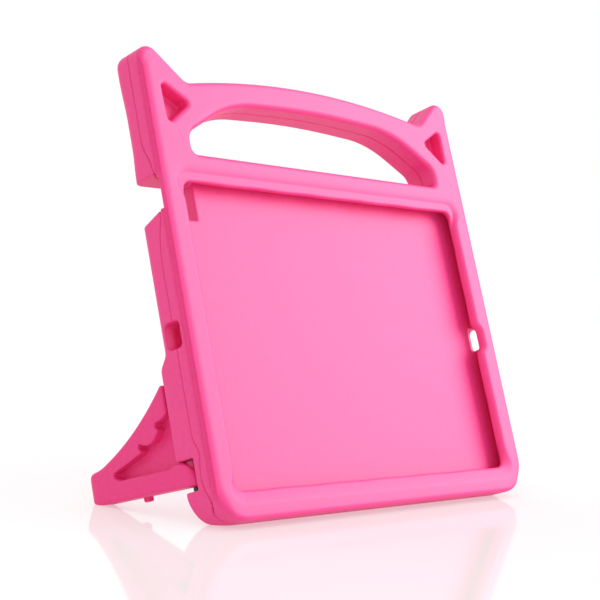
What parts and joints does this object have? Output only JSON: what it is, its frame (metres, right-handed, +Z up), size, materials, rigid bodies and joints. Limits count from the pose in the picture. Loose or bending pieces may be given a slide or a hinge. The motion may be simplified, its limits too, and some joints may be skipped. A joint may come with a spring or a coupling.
{
  "type": "foam tablet case with handle and fold-out legs",
  "caption": "Thick soft foam case for a tablet, with a carrying handle, pointed ears and fold-out wing legs that stand it leaning back.",
  "frame": {"origin": "centre of the bounding box in X and Y, on the floor that the heel and the open legs stand on", "axes": "+X to the viewer's right across the case, -Y towards the viewer in front of the screen, +Z up; the case leans back by 18.8 degrees"},
  "size_m": [0.2566, 0.1047, 0.2429],
  "materials": {
    "body_foam": "matte, fine-textured closed-cell foam",
    "leg_foam": "matte, fine-textured closed-cell foam",
    "hinge_plastic": "moulded, satin",
    "pin_steel": "blackened drawn wire, satin"
  },
  "bodies": {
    "case": {"front_frame": "body_foam", "rear_shell": "body_foam", "left_hinge_pin": "pin_steel", "right_hinge_pin": "pin_steel"},
    "left_leg": {"left_leg": "leg_foam", "left_hinge_sleeve": "hinge_plastic"},
    "right_leg": {"right_leg": "leg_foam", "right_hinge_sleeve": "hinge_plastic"}
  },
  "joints": [
    {"name": "left_leg_fold", "type": "hinge", "parent": "case", "child": "left_leg", "pos_m": [-0.1228, -0.02521, 0.02684], "axis": [0, -0.3221, -0.9467], "range_deg": [0, 90]},
    {"name": "right_leg_fold", "type": "hinge", "parent": "case", "child": "right_leg", "pos_m": [0.1228, -0.02521, 0.02684], "axis": [0, 0.3221, 0.9467], "range_deg": [0, 90]}
  ]
}
